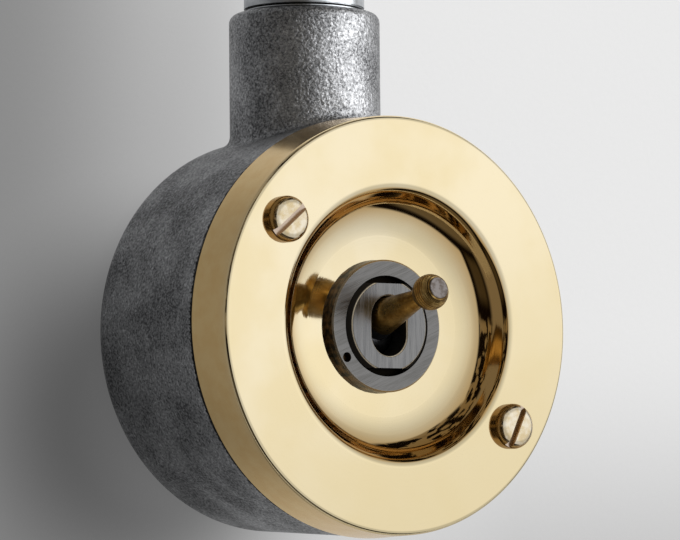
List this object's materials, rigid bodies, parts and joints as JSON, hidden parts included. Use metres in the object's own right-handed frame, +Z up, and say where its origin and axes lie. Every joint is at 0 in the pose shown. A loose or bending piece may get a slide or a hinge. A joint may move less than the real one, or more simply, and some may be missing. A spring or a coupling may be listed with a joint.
{
  "type": "conduit light switch",
  "caption": "Surface dolly switch: round cast box with a conduit hub, dished brass cover, slotted screws, ring nut and ball-ended dolly over a rocker contact unit.",
  "frame": {"origin": "centre of the box's back face, on the wall", "axes": "+Y from the front into the wall, +Z up along the conduit, +X to the right of someone who faces the switch"},
  "size_m": [0.085, 0.0662, 0.1325],
  "materials": {
    "cast_box": "as cast, finely pitted, dark grey",
    "cover_brass": "polished, faint turned rings in the dish",
    "screw_brass": "polished, domed",
    "ring_gunmetal": "turned and brushed, dark bronze sides",
    "bush_metal": "brushed",
    "dolly_brass": "aged, satin, turned",
    "galvanised_steel": "galvanised, dull",
    "frame_steel": "plated sheet",
    "moulding": "dark brown moulding",
    "terminal_brass": "plain machined",
    "contact_silver": "bright",
    "spring_steel": "plain"
  },
  "bodies": {
    "box": {"back_box": "cast_box", "conduit_stub": "galvanised_steel", "front_cover": "cover_brass", "cover_screw_upper": "screw_brass", "cover_screw_lower": "screw_brass", "ring_nut": "ring_gunmetal", "lock_washer": "frame_steel", "back_nut": "terminal_brass", "switch_bush": "bush_metal", "switch_frame": "frame_steel", "switch_housing": "moulding", "terminal_base": "moulding", "terminal_upper": "terminal_brass", "terminal_common": "terminal_brass", "terminal_lower": "terminal_brass", "terminal_screw_upper": "terminal_brass", "terminal_screw_common": "terminal_brass", "terminal_screw_lower": "terminal_brass", "fixed_contact_upper": "contact_silver", "fixed_contact_lower": "contact_silver", "rocker_cradle": "terminal_brass", "rocker_pin": "spring_steel", "earth_washer": "terminal_brass", "earth_screw": "terminal_brass"},
    "dolly": {"dolly": "dolly_brass", "dolly_pin": "spring_steel", "toggle_spring": "spring_steel"},
    "plunger": {"contact_plunger": "terminal_brass"},
    "rocker": {"contact_rocker": "terminal_brass", "moving_contact_upper": "contact_silver", "moving_contact_lower": "contact_silver"}
  },
  "joints": [
    {"name": "dolly_toggle", "type": "hinge", "parent": "box", "child": "dolly", "pos_m": [0, -0.039, 0], "axis": [1, 0, 0], "range_deg": [0, 28]},
    {"name": "rocker_tilt", "type": "hinge", "parent": "box", "child": "rocker", "pos_m": [0, -0.0237, 0], "axis": [1, 0, 0], "range_deg": [-22.5, 0.1]},
    {"name": "plunger_slide", "type": "slide", "parent": "dolly", "child": "plunger", "axis": [0, -0.9703, 0.2419], "range_m": [0, 0.0008], "stiffness_N_per_m": 800, "springref_m": -0.002, "deforming": ["toggle_spring"]}
  ],
  "couplings": [
    {"joint": "rocker_tilt", "follows": "dolly_toggle", "ratio": -0.8}
  ]
}
